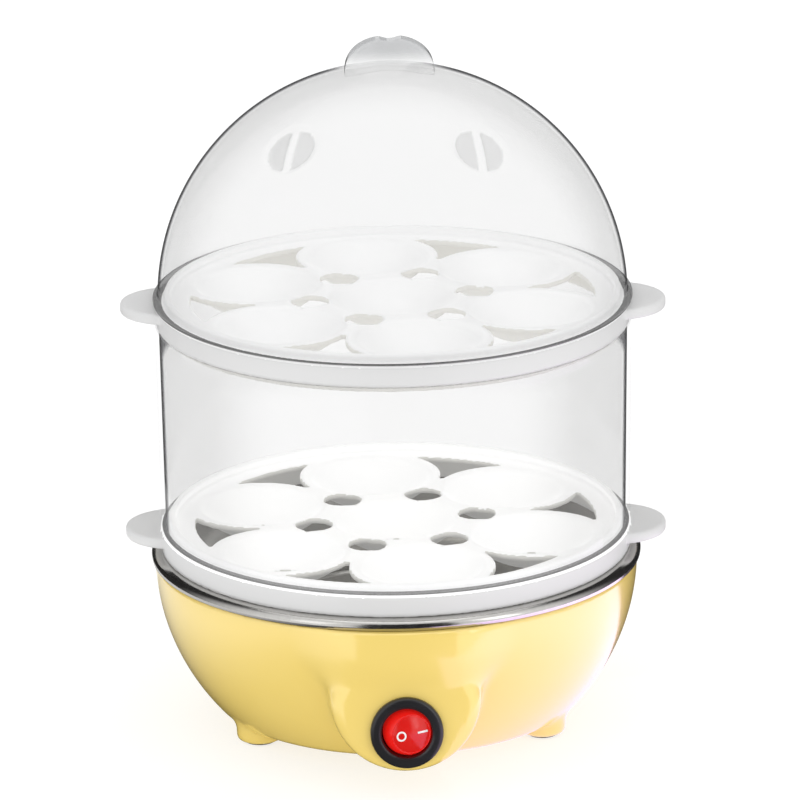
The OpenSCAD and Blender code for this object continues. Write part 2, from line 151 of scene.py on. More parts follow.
def slide_onto(field, verts, cell):
    """Slides points down the field's slope onto the surface where it is zero, by less than a cell."""
    nudge, flattest = 0.05, 0.05
    start = verts.copy()
    for _ in range(4):
        value = field(*verts.T)
        rises = [field(*(verts + nudge * e).T) - field(*(verts - nudge * e).T) for e in np.eye(3)]
        slope = np.stack(rises, 1) / (2 * nudge)
        verts = verts - slope * (value / np.maximum((slope**2).sum(1), flattest))[:, None]
        verts = start + np.clip(verts - start, -0.6 * cell, 0.6 * cell)
    return verts


def net_faces(inside, index):
    """One four-sided face for each grid edge that crosses the surface, facing outwards."""
    faces = []
    for axis in range(3):
        u, v = [(1, 2), (2, 0), (0, 1)][axis]
        size = list(inside.shape)
        size[axis] -= 1
        near = inside[tuple(slice(0, size[i]) if i == axis else slice(1, size[i] - 1) for i in range(3))]
        far = inside[tuple(slice(1, size[i] + 1) if i == axis else slice(1, size[i] - 1) for i in range(3))]
        for flip in (False, True):
            spots = np.argwhere(near & ~far) if flip else np.argwhere(~near & far)
            if not len(spots):
                continue
            spots[:, u] += 1
            spots[:, v] += 1
            quad = []
            for du, dv in ((1, 1), (0, 1), (0, 0), (1, 0)):
                spot = spots.copy()
                spot[:, u] -= du
                spot[:, v] -= dv
                quad.append(index[spot[:, 0], spot[:, 1], spot[:, 2]])
            quad = np.stack(quad if flip else quad[::-1], 1)
            faces.extend(map(tuple, quad.tolist()))
    return faces


def skin(field, low, high, cell):
    """Meshes the surface where field(x, y, z) is zero, negative inside, by surface nets."""
    axes = [np.arange(low[i], high[i] + cell, cell) for i in range(3)]
    grid = np.meshgrid(*axes, indexing="ij")
    value = field(*grid)
    inside = value < 0
    shape = tuple(n - 1 for n in value.shape)

    def corner(array, i, j, k):
        return array[i : i + shape[0], j : j + shape[1], k : k + shape[2]]

    corners = [(i, j, k) for i in (0, 1) for j in (0, 1) for k in (0, 1)]
    count = sum(corner(inside, *c).astype(np.int8) for c in corners)
    active = (count > 0) & (count < 8)
    index = np.full(shape, -1, dtype=np.int64)
    index[active] = np.arange(active.sum())
    total = np.zeros((active.sum(), 3))
    hits = np.zeros(active.sum())
    for axis in range(3):
        step = tuple(int(axis == i) for i in range(3))
        for c in corners:
            if c[axis]:
                continue
            far = tuple(c[i] + step[i] for i in range(3))
            a = corner(value, *c)[active]
            b = corner(value, *far)[active]
            cross = (a < 0) != (b < 0)
            t = np.where(cross, a / np.where(cross, a - b, 1), 0)
            point = np.tile(np.array(c, float), (len(a), 1))
            point[:, axis] += t
            total += point * cross[:, None]
            hits += cross
    where = np.argwhere(active)
    verts = np.array(low) + cell * (where + total / hits[:, None])
    return slide_onto(field, verts, cell), net_faces(inside, index)


# ---------------------------------------------------------------- materials
def new_material(name):
    material = bpy.data.materials.new(name)
    material.use_nodes = True
    tree = material.node_tree
    return material, tree, tree.nodes["Principled BSDF"]


def noise(tree, scale, detail=3.0):
    """A 3-D noise value in object space, scale in features per metre."""
    coords = tree.nodes.new("ShaderNodeTexCoord")
    node = tree.nodes.new("ShaderNodeTexNoise")
    node.inputs["Scale"].default_value = scale
    node.inputs["Detail"].default_value = detail
    tree.links.new(coords.outputs["Object"], node.inputs["Vector"])
    return node.outputs["Fac"]


def spread(tree, value, low, high):
    """Maps a noise value of about 0.3 to 0.7 onto low to high."""
    node = tree.nodes.new("ShaderNodeMapRange")
    node.inputs["From Min"].default_value = 0.3
    node.inputs["From Max"].default_value = 0.7
    node.inputs["To Min"].default_value = low
    node.inputs["To Max"].default_value = high
    tree.links.new(value, node.inputs["Value"])
    return node.outputs["Result"]


def blend_colours(tree, value, dark, light):
    """Runs from the dark colour to the light one while the value runs from 0 to 1."""
    node = tree.nodes.new("ShaderNodeMix")
    node.data_type = "RGBA"
    node.inputs[6].default_value = (*dark, 1)
    node.inputs[7].default_value = (*light, 1)
    tree.links.new(value, node.inputs["Factor"])
    return node.outputs[2]


def bump(tree, shader, value, strength, distance):
    node = tree.nodes.new("ShaderNodeBump")
    node.inputs["Strength"].default_value = strength
    node.inputs["Distance"].default_value = distance
    tree.links.new(value, node.inputs["Height"])
    tree.links.new(node.outputs["Normal"], shader.inputs["Normal"])


def moulded(name, dark, light, rough, grain=900.0, depth=0.00002, soft=0.0, glow=0.0):
    """Moulded plastic or rubber: faint mottling of its colour and gloss, and a fine skin of grain."""
    material, tree, shader = new_material(name)
    mottle = noise(tree, 35.0)
    tree.links.new(blend_colours(tree, mottle, dark, light), shader.inputs["Base Color"])
    tree.links.new(spread(tree, noise(tree, 120.0), rough[0], rough[1]), shader.inputs["Roughness"])
    bump(tree, shader, noise(tree, grain, 2.0), 0.25, depth)
    if soft:
        shader.inputs["Subsurface Weight"].default_value = soft
        shader.inputs["Subsurface Radius"].default_value = (1.0, 0.8, 0.5)
        shader.inputs["Subsurface Scale"].default_value = 0.003
    # The glow is painted light: an emission from the plastic itself, not a lamp.
    if glow:
        shader.inputs["Emission Color"].default_value = (1, 1, 1, 1)
        shader.inputs["Emission Strength"].default_value = glow
    return material


def glossy_yellow():
    """Warm yellow moulding under a clear gloss, whose reflections are crisp."""
    dark, light = (0.93, 0.69, 0.17), (0.95, 0.72, 0.19)
    material = moulded("warm_yellow_plastic", dark, light, (0.30, 0.36), grain=120.0, depth=0.00001)
    shader = material.node_tree.nodes["Principled BSDF"]
    shader.inputs["Coat Weight"].default_value = 1.0
    shader.inputs["Coat Roughness"].default_value = 0.14
    shader.inputs["Coat IOR"].default_value = 1.75
    return material


def white_plastic_with_painted_glow(name, dark, light, rough, glow):
    """The trays' plastic; its glow is painted light, standing in for the light that the thin white wall
    passes on.
    """
    return moulded(name, dark, light, rough, grain=120.0, depth=0.00001, glow=glow)


def metal(name, dark, light, rough, grain=500.0):
    """Bare metal with fine marks in its colour and gloss."""
    material, tree, shader = new_material(name)
    marks = noise(tree, grain, 4.0)
    tree.links.new(blend_colours(tree, marks, dark, light), shader.inputs["Base Color"])
    tree.links.new(spread(tree, marks, rough[0], rough[1]), shader.inputs["Roughness"])
    shader.inputs["Metallic"].default_value = 1.0
    bump(tree, shader, marks, 0.15, 0.00002)
    return material


def ramp(tree, value, low, high, start=0.0, end=1.0):
    """Runs smoothly from start to end while the value runs from low to high."""
    node = tree.nodes.new("ShaderNodeMapRange")
    node.interpolation_type = "SMOOTHSTEP"
    node.inputs["From Min"].default_value = low
    node.inputs["From Max"].default_value = high
    node.inputs["To Min"].default_value = start
    node.inputs["To Max"].default_value = end
    tree.links.new(value, node.inputs["Value"])
    return node.outputs["Result"]


def math_node(tree, operation, first, second=None):
    node = tree.nodes.new("ShaderNodeMath")
    node.operation = operation
    tree.links.new(first, node.inputs[0])
    if second:
        tree.links.new(second, node.inputs[1])
    return node.outputs["Value"]


def place_along(tree, axis):
    """One object coordinate, in metres."""
    coords = tree.nodes.new("ShaderNodeTexCoord")
    split = tree.nodes.new("ShaderNodeSeparateXYZ")
    tree.links.new(coords.outputs["Object"], split.inputs["Vector"])
    return split.outputs[axis]


def clear_plastic(name, veil, veil_colour, edge_veil, edge_tint, band=(0.2, 0.7), fade=None, frost=0.0):
    """Thin clear moulding with a veil that thickens over a band of angles, and a dark outline edge on.

    With fade, two heights in metres, the veil builds up between them. With frost, the piece's frosted
    patches are greyer by that much, and the outline stops near the axis, where the grip stands.
    """
    material, tree, shader = new_material(name)
    links = tree.links
    facing = tree.nodes.new("ShaderNodeLayerWeight")
    facing.inputs["Blend"].default_value = 0.5
    outline = ramp(tree, facing.outputs["Facing"], 0.82, 0.90)
    if frost:
        side = math_node(tree, "ABSOLUTE", place_along(tree, "X"))
        outline = math_node(tree, "MULTIPLY", outline, ramp(tree, side, 0.009, 0.024))
    through = tree.nodes.new("ShaderNodeBsdfTransparent")
    links.new(blend_colours(tree, outline, (0.99, 0.99, 0.99), edge_tint), through.inputs["Color"])
    links.new(spread(tree, noise(tree, 60.0), 0.05, 0.09), shader.inputs["Roughness"])
    shader.inputs["Base Color"].default_value = (*veil_colour, 1)
    bump(tree, shader, noise(tree, 25.0, 1.0), 0.05, 0.0001)
    amount = ramp(tree, facing.outputs["Facing"], band[0], band[1], veil, edge_veil)
    if fade:
        amount = math_node(tree, "MULTIPLY", amount, ramp(tree, place_along(tree, "Z"), *fade))
    if frost:
        patch = tree.nodes.new("ShaderNodeAttribute")
        patch.attribute_name = "frost"
        amount = math_node(tree, "ADD", amount, ramp(tree, patch.outputs["Fac"], 0.0, 1.0, 0.0, frost))
    mix = tree.nodes.new("ShaderNodeMixShader")
    links.new(amount, mix.inputs["Fac"])
    links.new(through.outputs["BSDF"], mix.inputs[1])
    links.new(shader.outputs["BSDF"], mix.inputs[2])
    links.new(mix.outputs["Shader"], tree.nodes["Material Output"].inputs["Surface"])
    return material


YELLOW = glossy_yellow()
# The trays' glow is painted light; the lower tray's copy carries more of it, to brighten it inside the ring.
WHITE_PAINTED_GLOW = white_plastic_with_painted_glow("white_tray_plastic_painted_glow", (0.63, 0.63, 0.63), (0.65, 0.65, 0.65), (0.40, 0.48), 0.33)
WHITE_LOWER_PAINTED_GLOW = white_plastic_with_painted_glow("white_lower_tray_painted_glow", (0.66, 0.66, 0.66), (0.68, 0.68, 0.68), (0.40, 0.48), 0.47)
# Painted shade: the ears and the skirt take a copy with almost none of the painted glow.
WHITE_EAR_PAINTED_SHADE = white_plastic_with_painted_glow("white_tray_ear_painted_shade", (0.66, 0.66, 0.66), (0.68, 0.68, 0.68), (0.40, 0.48), 0.04)
# Painted shade: the underside and the sides of the holes take a greyer, warmer copy with less painted glow.
WHITE_UNDER_PAINTED_SHADE = white_plastic_with_painted_glow("white_tray_underside_painted_shade", (0.60, 0.59, 0.55), (0.64, 0.63, 0.59), (0.5, 0.6), 0.20)
BLACK = moulded("black_switch_plastic", (0.012, 0.012, 0.014), (0.022, 0.022, 0.025), (0.28, 0.40), 2500.0)
RUBBER = moulded("dark_rubber", (0.02, 0.02, 0.02), (0.035, 0.035, 0.035), (0.6, 0.8), 2500.0, 0.00005)
SILICONE = moulded("silicone", (0.72, 0.72, 0.69), (0.78, 0.78, 0.75), (0.4, 0.5), soft=0.2)
RESIN = moulded("phenolic_resin", (0.02, 0.018, 0.016), (0.035, 0.03, 0.028), (0.4, 0.55))
NYLON = moulded("natural_nylon", (0.76, 0.75, 0.70), (0.82, 0.81, 0.77), (0.35, 0.45), soft=0.2)
SLEEVE = moulded("woven_glass_sleeve", (0.62, 0.60, 0.54), (0.85, 0.83, 0.78), (0.7, 0.9), 3000.0, 0.0002)
STEEL = metal("dish_steel", (0.52, 0.51, 0.49), (0.62, 0.61, 0.59), (0.15, 0.21))
FASTENER = metal("zinc_plate", (0.50, 0.50, 0.52), (0.66, 0.66, 0.68), (0.25, 0.40), grain=1500.0)
ALUMINIUM = metal("cast_aluminium", (0.62, 0.63, 0.65), (0.76, 0.77, 0.79), (0.35, 0.5), grain=800.0)
SHEATH = metal("element_sheath", (0.16, 0.15, 0.15), (0.30, 0.28, 0.26), (0.35, 0.5), grain=700.0)
BRASS = metal("tinned_brass", (0.60, 0.46, 0.22), (0.78, 0.62, 0.32), (0.22, 0.35), grain=1500.0)
CLEAR = clear_plastic(
    "clear_plastic", 0.105, (0.40, 0.40, 0.40), 0.25, (0.22, 0.22, 0.23), band=(0.34, 0.68), frost=0.30
)
CLEAR_RING = clear_plastic(
    "clear_plastic_ring", 0.085, (0.40, 0.40, 0.40), 0.23, (0.22, 0.22, 0.23), band=(0.16, 0.44)
)
CLEAR_INSIDE = clear_plastic("clear_plastic_inside", 0.01, (0.9, 0.9, 0.9), 0.03, (0.97, 0.97, 0.97))
# Painted shade for the lowest faces of the ring's foot and the dome's lip: it stands in for the dark that
# refraction gives a clear edge.
CLEAR_EDGE_PAINTED_SHADE = clear_plastic("clear_plastic_edge_painted_shade", 0.7, (0.09, 0.09, 0.09), 0.8, (0.4, 0.4, 0.4))
GRIP_FADE = (DOME_TOP * MM - 0.0005, DOME_TOP * MM + 0.0065)
CLEAR_GRIP = clear_plastic(
    "clear_plastic_grip", 0.45, (0.42, 0.43, 0.44), 0.6, (0.12, 0.12, 0.12), fade=GRIP_FADE
)
MARK = moulded("mark_white", (0.85, 0.85, 0.85), (0.92, 0.92, 0.92), (0.4, 0.5))
INSULATION = {
    "lead_live": moulded("brown_insulation", (0.16, 0.07, 0.03), (0.22, 0.10, 0.05), (0.35, 0.5)),
    "lead_neutral": moulded("blue_insulation", (0.04, 0.14, 0.42), (0.06, 0.18, 0.5), (0.35, 0.5)),
    "lead_earth": moulded("green_insulation", (0.05, 0.28, 0.05), (0.10, 0.38, 0.08), (0.35, 0.5)),
}
for lead in ("lead_switched", "lead_stat", "lead_fuse"):
    INSULATION[lead] = moulded(lead + "_insulation", (0.015, 0.015, 0.015), (0.03, 0.03, 0.03), (0.35, 0.5))


def red_rocker_material(name, glow):
    """Translucent red; its glow is painted light, standing in for the lit lamp's light that comes through
    the plastic.
    """
    material, tree, shader = new_material(name)
    reds = blend_colours(tree, noise(tree, 60.0), (0.50, 0.006, 0.004), (0.62, 0.012, 0.008))
    tree.links.new(reds, shader.inputs["Base Color"])
    tree.links.new(spread(tree, noise(tree, 300.0), 0.14, 0.24), shader.inputs["Roughness"])
    shader.inputs["Subsurface Weight"].default_value = 0.3
    shader.inputs["Subsurface Radius"].default_value = (1.0, 0.15, 0.08)
    shader.inputs["Subsurface Scale"].default_value = 0.002
    shader.inputs["Emission Color"].default_value = (0.85, 0.012, 0.008, 1)
    shader.inputs["Emission Strength"].default_value = glow
    bump(tree, shader, noise(tree, 1200.0, 2.0), 0.15, 0.00002)
    return material


# Painted glow on the rocker: the sides' copy has about twice as much.
RED_PAINTED_GLOW = red_rocker_material("translucent_red", 0.2)
RED_WALL_PAINTED_GLOW = red_rocker_material("translucent_red_wall_painted_glow", 0.42)


def lamp_material():
    """Orange glass of the switch's lamp."""
    material, tree, shader = new_material("neon_lamp_glass")
    oranges = blend_colours(tree, noise(tree, 400.0), (0.9, 0.35, 0.10), (1.0, 0.50, 0.20))
    tree.links.new(oranges, shader.inputs["Base Color"])
    shader.inputs["Roughness"].default_value = 0.1
    shader.inputs["Transmission Weight"].default_value = 0.6
    return material


CAD_LOOKS = {
    "bottom_cover": YELLOW, "cover_screws": FASTENER, "foot_pads": RUBBER, "cord_gland": BLACK,
    "rim_gasket": SILICONE, "dish_bosses": FASTENER, "dish_screws": FASTENER, "heat_spreader": ALUMINIUM,
    "heating_element": SHEATH, "element_tabs": BRASS, "thermostat": RESIN, "thermostat_strap": FASTENER,
    "thermostat_studs": FASTENER, "thermostat_nuts": FASTENER, "earth_tag": BRASS, "thermal_fuse": FASTENER,
    "fuse_sleeve": SLEEVE, "fuse_clip": FASTENER, "terminal_block": NYLON, "terminal_sleeves": BRASS,
    "terminal_screws": FASTENER, "switch_tabs": BRASS, "neon_lamp": lamp_material(),
    **INSULATION,
}


def dress(node, material):
    """Gives a CAD node its material and a small bevel, so that its edges catch the light."""
    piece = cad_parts[node]
    piece.data.materials.clear()
    piece.data.materials.append(material)
    edge = piece.modifiers.new("edges", "BEVEL")
    edge.width = 0.15 * MM
    edge.segments = 2
    edge.limit_method = "ANGLE"
    edge.angle_limit = math.radians(40)


# ---------------------------------------------------------------- camera, light and floor
def place_camera():
    """At the product photograph's angle: 2.2 m away, 17 degrees above the horizon, a little to the left."""
    azimuth, elevation, roll = math.radians(-1.8), math.radians(17.4), math.radians(0.8)
    distance = 2.2
    level = math.cos(elevation)
    back = Vector((math.sin(azimuth) * level, -math.cos(azimuth) * level, math.sin(elevation)))
    middle, aim = Vector((0, 0, 0.115)), Vector((0.002, 0, 0.1101))
    data = bpy.data.cameras.new("camera")
    data.lens = 295.5
    data.clip_start, data.clip_end = 0.1, 50
    camera = bpy.data.objects.new("camera", data)
    bpy.context.scene.collection.objects.link(camera)
    camera.location = middle + distance * back
    look = (aim - camera.location).to_track_quat("-Z", "Y").to_matrix()
    turn = Matrix.Rotation(-roll, 3, "Z")
    camera.matrix_world = Matrix.Translation(camera.location) @ (look @ turn).to_4x4()
    bpy.context.scene.camera = camera


def softbox(name, location, target, size, power):
    """A soft white lamp; places and sizes in metres, power in watts."""
    data = bpy.data.lights.new(name, "AREA")
    data.shape = "RECTANGLE"
    data.size, data.size_y = size
    data.energy = power
    lamp = bpy.data.objects.new(name, data)
    bpy.context.scene.collection.objects.link(lamp)
    lamp.location = location
    lamp.rotation_euler = (Vector(target) - Vector(location)).to_track_quat("-Z", "Y").to_euler()


def reflection_only(name, verts, faces, material):
    """Adds a piece of the studio that only reflections see."""
    mesh = bpy.data.meshes.new(name)
    mesh.from_pydata(verts, [], faces)
    mesh.materials.append(material)
    piece = bpy.data.objects.new(name, mesh)
    bpy.context.scene.collection.objects.link(piece)
    piece.visible_camera = False
    piece.visible_shadow = False
    piece.visible_diffuse = False
    piece.visible_transmission = False


CARD_Z = 0.001  # just above the floor, in metres


def strip_faces(steps):
    return [(2 * k, 2 * k + 1, 2 * k + 3, 2 * k + 2) for k in range(steps)]


def flag(name, start, end, radius, height, material):
    """A curved strip standing round the object. Angles run from the front to the right, in degrees."""
    steps = 24
    angles = np.radians(np.linspace(start, end, steps + 1))
    verts = [(radius * math.sin(a), -radius * math.cos(a), z) for a in angles for z in (CARD_Z, height)]
    reflection_only(name, verts, strip_faces(steps), material)


def floor_card(name, start, end, inner, outer, material):
    """A flat curved card on the table round the object, between two radii, with angles as for a flag."""
    steps = 12
    angles = np.radians(np.linspace(start, end, steps + 1))
    verts = [(r * math.sin(a), -r * math.cos(a), CARD_Z) for a in angles for r in (inner, outer)]
    reflection_only(name, verts, strip_faces(steps), material)


def black_card():
    card, _, shader = new_material("black_card")
    shader.inputs["Base Color"].default_value = (0.01, 0.01, 0.01, 1)
    shader.inputs["Roughness"].default_value = 0.9
    return card


def card_material(name, axis, low, high, start, end, colour=(1, 1, 1)):
    """A card whose glow changes from start to end between two places along an axis."""
    card, tree, shader = new_material(name)
    shader.inputs["Base Color"].default_value = (0.01, 0.01, 0.01, 1)
    shader.inputs["Roughness"].default_value = 0.9
    shader.inputs["Emission Color"].default_value = (*colour, 1)
    glow = ramp(tree, place_along(tree, axis), low, high, start, end)
    tree.links.new(glow, shader.inputs["Emission Strength"])
    return card


def light_studio():
    """A white room with three softboxes, and the cards that shade the clear, steel and yellow surfaces."""
    scene = bpy.context.scene
    scene.view_settings.view_transform = "Standard"
    world = bpy.data.worlds.new("studio")
    world.use_nodes = True
    world.node_tree.nodes["Background"].inputs["Color"].default_value = (1, 1, 1, 1)
    world.node_tree.nodes["Background"].inputs["Strength"].default_value = 1.0
    scene.world = world
    centre = (0, 0, 0.1)
    softbox("key_left", (-1.1, -1.2, 0.9), centre, (0.5, 1.2), 1.2)
    softbox("fill_right", (1.2, -1.1, 0.8), centre, (0.5, 1.2), 2.5)
    softbox("top", (0, 0.2, 1.9), centre, (1.2, 1.2), 3)
    place_cards()


def place_cards():
    black = black_card()
    soft_black = card_material("soft_black_card", "Y", -0.13, 0.08, 0.9, 0.0)
    shade = card_material("shade_card", "X", -0.17, -0.06, 0.9, 0.0)
    bright = card_material("bright_card", "X", 0.02, 0.18, 1.25, 2.5, (0.9, 0.68, 1.0))
    flag("flag_front", -17, 21, 0.25, 0.30, black)
    flag("flag_left", -175, -62, 0.27, 0.45, soft_black)
    flag("flag_right", 66, 175, 0.27, 0.45, soft_black)
    floor_card("card_left", -140, 11, 0.03, 0.25, shade)
    floor_card("card_right", 11, 108, 0.03, 0.25, bright)
    floor_card("card_edge", 109, 180, 0.03, 0.40, black)


def lay_floor():
    """A plain floor, bright enough to read as the photograph's white ground."""
    material, tree, shader = new_material("pale_floor")
    greys = blend_colours(tree, noise(tree, 4.0), (0.32, 0.32, 0.32), (0.34, 0.34, 0.34))
    tree.links.new(greys, shader.inputs["Base Color"])
    shader.inputs["Roughness"].default_value = 0.8
    shader.inputs["Specular IOR Level"].default_value = 0.1
    shader.inputs["Emission Color"].default_value = (1, 1, 1, 1)
    shader.inputs["Emission Strength"].default_value = 0.72
    mesh = bpy.data.meshes.new("floor")
    half = 12.0
    corners = [(-half, -half, 0), (half, -half, 0), (half, half, 0), (-half, half, 0)]
    mesh.from_pydata(corners, [], [(0, 1, 2, 3)])
    mesh.materials.append(material)
    floor = bpy.data.objects.new("floor", mesh)
    bpy.context.scene.collection.objects.link(floor)


place_camera()
light_studio()
lay_floor()
for node, look in CAD_LOOKS.items():
    dress(node, look)


# ---------------------------------------------------------------- the moulded housing
POD_COS, POD_SIN = math.cos(POD_LEAN), math.sin(POD_LEAN)
POD_BACK_Y = -20.0
CONE_R, CONE_SLOPE, CONE_COS = 92.0, 0.19, 0.982
FLANGE_LOW, FLANGE_HIGH, FLANGE_R = 7.4, 9.8, 41.0
COVER_R, OPENING_TOP = 46.4, 24.0
FOOT_LIFT, FOOT_TOP = 0.6, 13.6
PAD_R, PAD_TOP = 5.1, 1.9
GLAND_BOSS_R, GLAND_HOLE_R, GLAND_START = 10.0, 6.0, 60.0
SWITCH_HOLE_R, SWITCH_HOLE_DEEP = 10.0, 10.0
LUG_Z, LUG_IN, LUG_HALF_W, LUG_HALF_T = 22.0, 42.5, 6.0, 2.0
LUG_HOLE_AT, LUG_HOLE_R = 47.0, 1.7
RIB_IN, RIB_HALF_T, RIB_LOW = 52.0, 1.5, 8.8
BOSS_AT, BOSS_R, BOSS_Z, BOSS_HALF_H = 42.0, 4.0, 10.4, 3.0
POST_X, POST_Y, POST_R, POST_Z, POST_HALF_H = 9.0, 55.5, 3.0, 11.4, 2.6


def smooth_step(value, low, high):
    t = np.clip((value - low) / (high - low), 0, 1)
    return t * t * (3 - 2 * t)


def bowl_field(x, y, z, shrink):
    """Distance, near enough, outside a bowl that lies shrink inside the housing's own."""
    a, b = HOUSING_R - shrink, BOWL_DROP - shrink
    r, d = np.hypot(x, y), BOWL_Z - z
    q = np.hypot(r / a, d / b) + 1e-9
    return (q - 1) * q / (np.hypot(r / a**2, d / b**2) + 1e-9)


def pod_coordinates(y, z):
    """Height up the pod's face and distance out of it, from the switch's centre."""
    out = -(y - POD_FACE.y) * POD_COS + (z - POD_FACE.z) * POD_SIN
    up = (y - POD_FACE.y) * POD_SIN + (z - POD_FACE.z) * POD_COS
    return up, out


def pod_field(x, y, z, shrink, blend):
    """The U-shaped pod: a rounded outline, its leaning face, and the cone that its upper front follows."""
    up, out = pod_coordinates(y, z)
    outline = np.where(up < POD_RISE, np.hypot(x, up - POD_RISE), np.abs(x)) - POD_HALF_W + shrink
    cone = CONE_COS * (np.hypot(x, y) - CONE_R + CONE_SLOPE * z) + shrink
    front = smooth_max(cone, out + shrink, 3.0)
    return np.maximum(smooth_max(outline, front, blend), y - POD_BACK_Y)


def foot_field(x, y, radius):
    """Distance outside the four upright round feet."""
    return np.hypot(np.abs(x) - FOOT_X, np.abs(y) - FOOT_Y) - radius


def housing_outside(x, y, z):
    """The bowl with its pod, feet and gland boss. The pod melts into the bowl towards the top."""
    fade = smooth_step(z, 30, 48)
    pod = pod_field(x, y, z, 0, 4.0 + 8 * fade)
    shape = smooth_min(bowl_field(x, y, z, 0), pod, 2.5 + 11 * fade)
    shape = smooth_max(shape, FLOOR_Z - z, 2.5)
    foot = smooth_max(foot_field(x, y, FOOT_R), FOOT_LIFT - z, 2.5)
    shape = smooth_min(shape, np.maximum(foot, z - FOOT_TOP), 2.0)
    gland = smooth_max(np.hypot(x, z - GLAND_Z) - GLAND_BOSS_R, y - GLAND_FACE, 1.2)
    shape = smooth_min(shape, np.maximum(gland, GLAND_START - y), 2.0)
    return smooth_max(shape, z - HOUSING_TOP, 0.5)


def housing_hollow(x, y, z):
    """The inside, the cover's recess and opening, and the holes for switch, gland and foot pads."""
    pod = pod_field(x, y, z, WALL, 4.0)
    void = smooth_max(smooth_min(bowl_field(x, y, z, WALL), pod, 2.0), FLANGE_HIGH - z, 1.0)
    recess = np.maximum(np.hypot(x, y) - COVER_R, z - FLANGE_LOW)
    opening = np.maximum(np.hypot(x, y) - FLANGE_R, z - OPENING_TOP)
    up, out = pod_coordinates(y, z)
    switch = np.maximum(np.hypot(x, up) - SWITCH_HOLE_R, -SWITCH_HOLE_DEEP - out)
    gland = np.maximum(np.hypot(x, z - GLAND_Z) - GLAND_HOLE_R, GLAND_START - y)
    pads = np.maximum(foot_field(x, y, PAD_R), z - PAD_TOP)
    return np.minimum.reduce([void, recess, opening, switch, gland, pads])


def housing_lugs(x, y, z):
    """Lugs with ribs on the diagonals, screw bosses on the axes, and two posts."""
    along, across = (np.abs(x) + np.abs(y)) / math.sqrt(2), (np.abs(x) - np.abs(y)) / math.sqrt(2)
    lug = np.maximum.reduce([LUG_IN - along, np.abs(across) - LUG_HALF_W, np.abs(z - LUG_Z) - LUG_HALF_T])
    lug = np.maximum(lug, LUG_HOLE_R - np.hypot(along - LUG_HOLE_AT, across))
    rib = np.maximum.reduce([RIB_IN - along, np.abs(across) - RIB_HALF_T, RIB_LOW - z, z - LUG_Z])
    lug = np.maximum(np.minimum(lug, rib), bowl_field(x, y, z, WALL / 2))
    far, near = np.maximum(np.abs(x), np.abs(y)), np.minimum(np.abs(x), np.abs(y))
    boss = np.maximum(np.hypot(far - BOSS_AT, near) - BOSS_R, np.abs(z - BOSS_Z) - BOSS_HALF_H)
    post = np.maximum(np.hypot(np.abs(x) - POST_X, y - POST_Y) - POST_R, np.abs(z - POST_Z) - POST_HALF_H)
    return np.minimum.reduce([lug, boss, post])


def housing_field(x, y, z):
    shell = smooth_max(housing_outside(x, y, z), -housing_hollow(x, y, z), 0.5)
    return np.minimum(shell, housing_lugs(x, y, z))


def make_housing():
    """One moulding for the three housing nodes, down to the feet."""
    low, high = box_mm("base_housing")
    low[2] = 0
    margin, cell = 2, 1.2
    verts, faces = skin(housing_field, low - margin, high + margin, cell)
    add_mesh("housing_moulding", verts, faces, YELLOW, "base",
             ["base_housing", "housing_floor", "housing_lugs"])


# ---------------------------------------------------------------- steel dish
DISH_DEPTH, DISH_FLOOR_R, DISH_SIDE_W, STEEL_T = 25.6, 56.0, 21.2, 0.8
RIDGE_R, RIDGE_W, RIDGE_H = 43.0, 4.0, 0.8
ROLL_R, ROLL_W, ROLL_H = 79.3, 3.2, 2.4


def make_dish():
    """The pressed dish: floor with a low ridge, curved side, flat ledge, and a rounded band rolled under."""
    floor = RIM_Z - DISH_DEPTH
    climb = np.radians(np.linspace(90, 0, 22))
    side = [(DISH_FLOOR_R + DISH_SIDE_W * math.cos(t), RIM_Z - DISH_DEPTH * math.sin(t)) for t in climb]
    under = [(r + STEEL_T * math.cos(t), z - STEEL_T * math.sin(t)) for (r, z), t in zip(side, climb)]
    bump_up = [(k, math.sin(math.pi * k) ** 2) for k in np.linspace(0, 1, 9)]
    ridge = [(RIDGE_R + RIDGE_W * k, floor + RIDGE_H * h) for k, h in bump_up]
    ledge = [(77.9, RIM_Z), (79.2, RIM_Z)]
    bend = np.radians(np.linspace(90, -15, 22))
    roll = [(ROLL_R + ROLL_W * math.cos(t), RIM_Z - ROLL_H + ROLL_H * math.sin(t)) for t in bend]
    tuck = arc(81.8, RIM_Z - 3.04, 0.6, -10, -110, 5)
    back = [(80.2, 57.3), (79.3, 58.2), (79.2, 59.4), (78.7, RIM_Z - STEEL_T)]
    profile = [(0, floor), (20, floor)] + ridge + side + ledge + roll + tuck + back
    profile += under[::-1] + [(20, floor - STEEL_T), (0, floor - STEEL_T)]
    verts, faces = lathe(profile)
    add_mesh("heating_dish_pressing", verts, faces, STEEL, "base", ["heating_dish"])


# ---------------------------------------------------------------- egg trays
PATTERN_TURN = math.radians(10.5)
CUP_PITCH, CUP_R, CUP_OUT_R, CUP_UP = 48.3, 27.7, 29.3, 18.29
HOLE_RING, HOLE_R, DRAIN_R = 27.89, 6.3, 5.5
WINDOW_R, WINDOW_IN, WINDOW_SIDE_R, WINDOW_SIDE_X, WINDOW_SIDE_Y = 67.5, 46.0, 24.0, 43.0, 24.6
EAR_X, EAR_R, EAR_UP, EAR_HALF_T = 73.5, 17.5, 4.95, 1.75
PLATE_R, SKIRT_R, SKIRT_HALF_T, COLLAR_R, COLLAR_HALF_T, COLLAR_DROP = 79.0, 78.2, 0.8, 75.8, 0.9, 5.0
SIXTH = math.radians(60)


